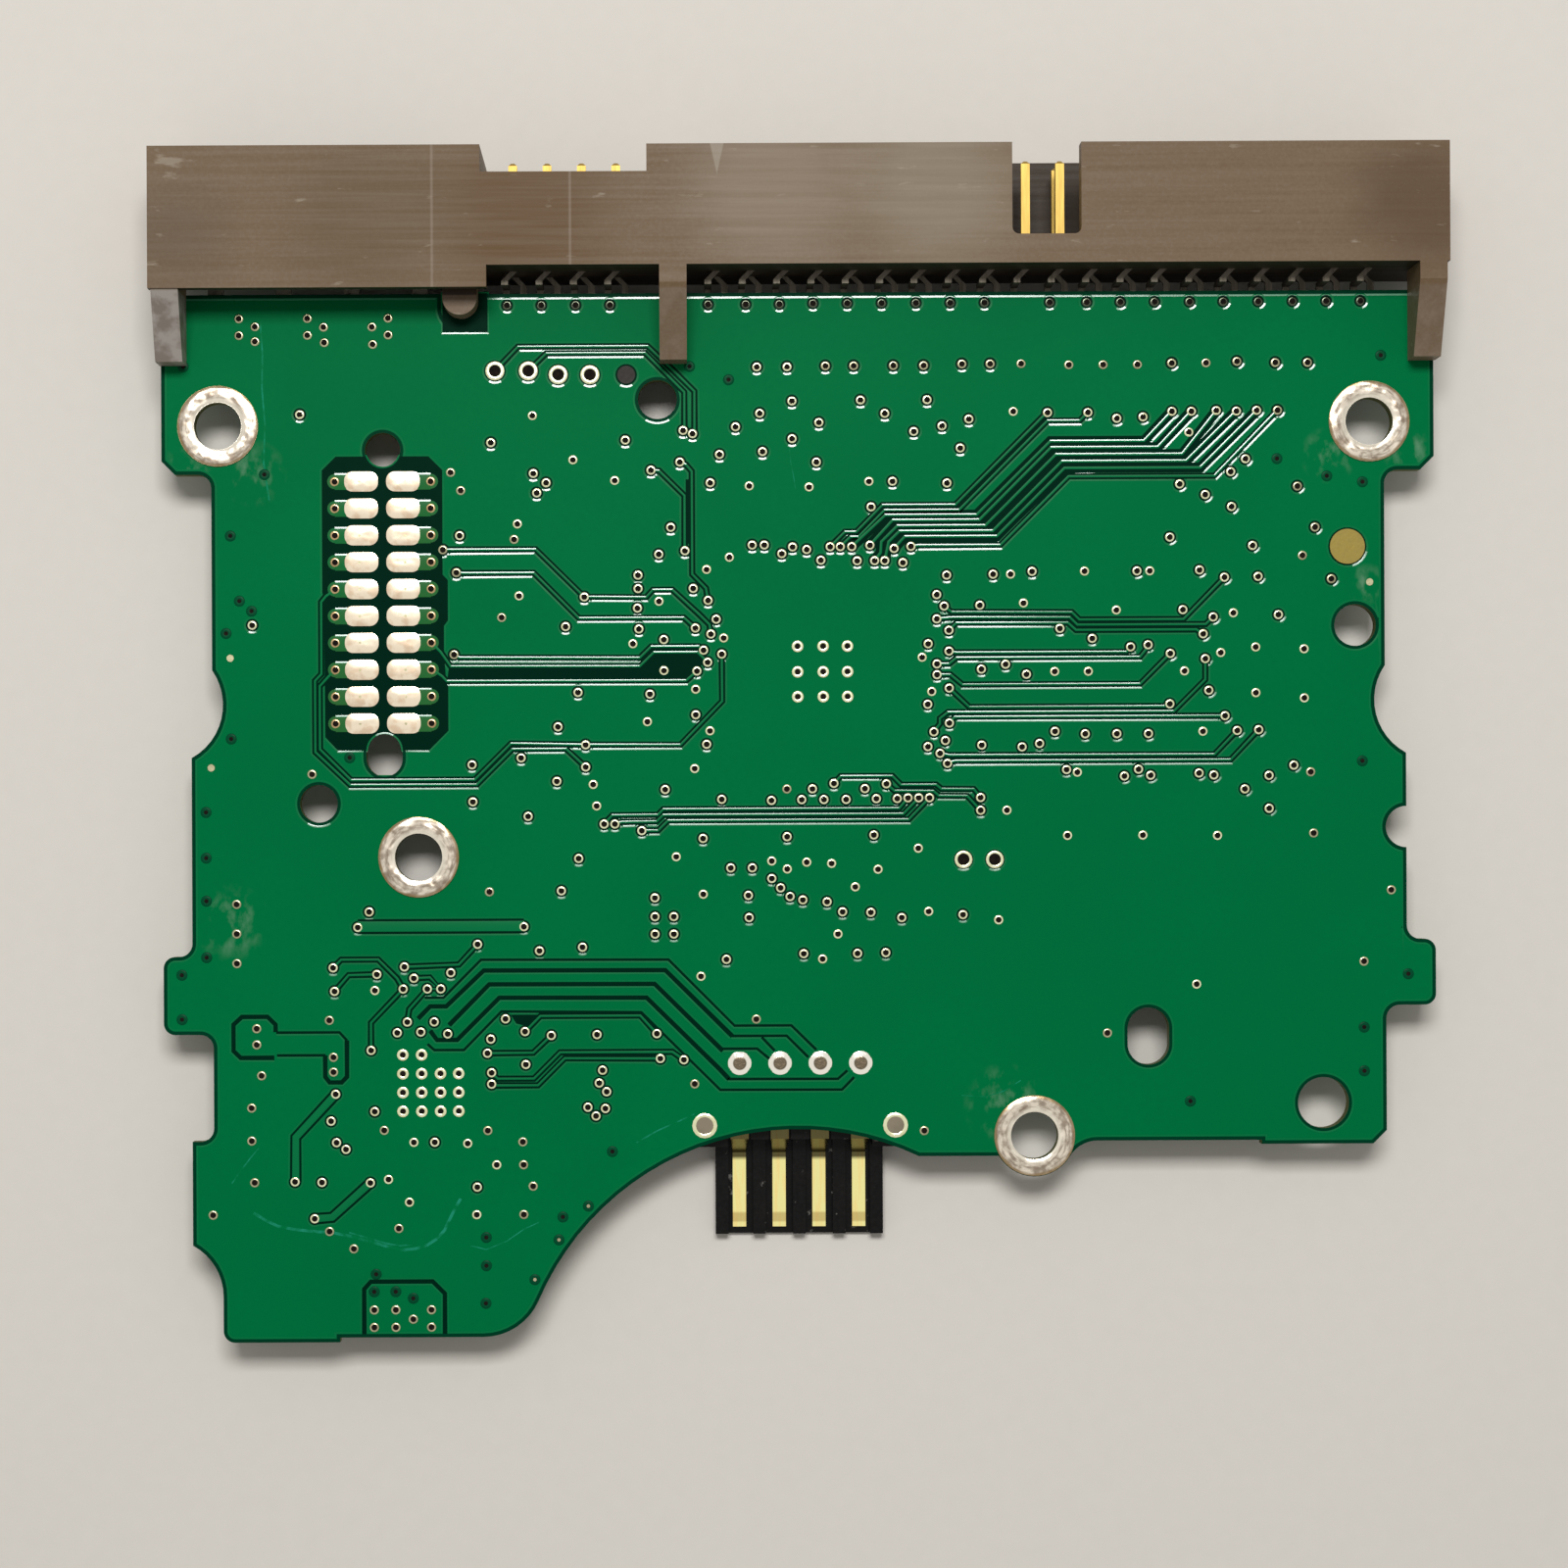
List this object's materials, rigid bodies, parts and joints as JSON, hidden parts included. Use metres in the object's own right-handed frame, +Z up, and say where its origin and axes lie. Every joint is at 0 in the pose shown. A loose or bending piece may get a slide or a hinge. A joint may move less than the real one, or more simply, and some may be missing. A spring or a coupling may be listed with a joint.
{
  "type": "hard drive circuit board",
  "caption": "Controller board of a 3.5-inch hard drive with keyed bus, jumper and power sockets along one edge, head contact pads, screw holes and spring contacts for the motor.",
  "frame": {"origin": "under the middle of the part, at the level it rests on", "axes": "+X along the interface connector, +Y out of its sockets, +Z up towards the bare side with the contact pads"},
  "size_m": [0.0952, 0.0882, 0.0089],
  "materials": {
    "solder_mask": "green solder mask over copper on glass-epoxy laminate",
    "tinned_copper": "solder-coated copper",
    "gold_plate": "gold-plated copper alloy",
    "brown_nylon": "moulded glass-filled nylon",
    "black_plastic": "moulded polyester",
    "moulding_compound": "moulded epoxy",
    "yellow_moulding": "moulded epoxy",
    "ferrite": "sintered ferrite",
    "crystal_can": "nickel-plated lid",
    "white_ceramic": "fired ceramic",
    "tan_ceramic": "fired ceramic with tinned ends",
    "black_ceramic": "glazed ceramic with tinned ends"
  },
  "bodies": {
    "root": {"circuit_board": "solder_mask", "screw_lands": "tinned_copper", "head_contact_pads": "tinned_copper", "round_contact_pad": "gold_plate", "interface_housing": "brown_nylon", "bus_pins_upper": "gold_plate", "bus_pins_lower": "gold_plate", "jumper_pins_upper": "gold_plate", "jumper_pins_lower": "gold_plate", "power_pins": "tinned_copper", "motor_connector_body": "black_plastic", "motor_contact_blades": "gold_plate", "motor_solder_joints": "tinned_copper", "controller_body": "moulding_compound", "controller_leads": "tinned_copper", "memory_body": "moulding_compound", "memory_leads": "tinned_copper", "motor_driver_body": "moulding_compound", "motor_driver_leads": "tinned_copper", "flash_body": "moulding_compound", "flash_leads": "tinned_copper", "regulator_bodies": "moulding_compound", "regulator_leads": "tinned_copper", "surge_diode_bodies": "moulding_compound", "surge_diode_clips": "tinned_copper", "tantalum_capacitors": "yellow_moulding", "power_inductors": "ferrite", "crystal": "crystal_can", "shock_sensor": "white_ceramic", "resistor_arrays": "black_ceramic", "large_chip_capacitors": "tan_ceramic", "small_chip_capacitors": "tan_ceramic", "chip_resistors": "black_ceramic"}
  },
  "joints": []
}
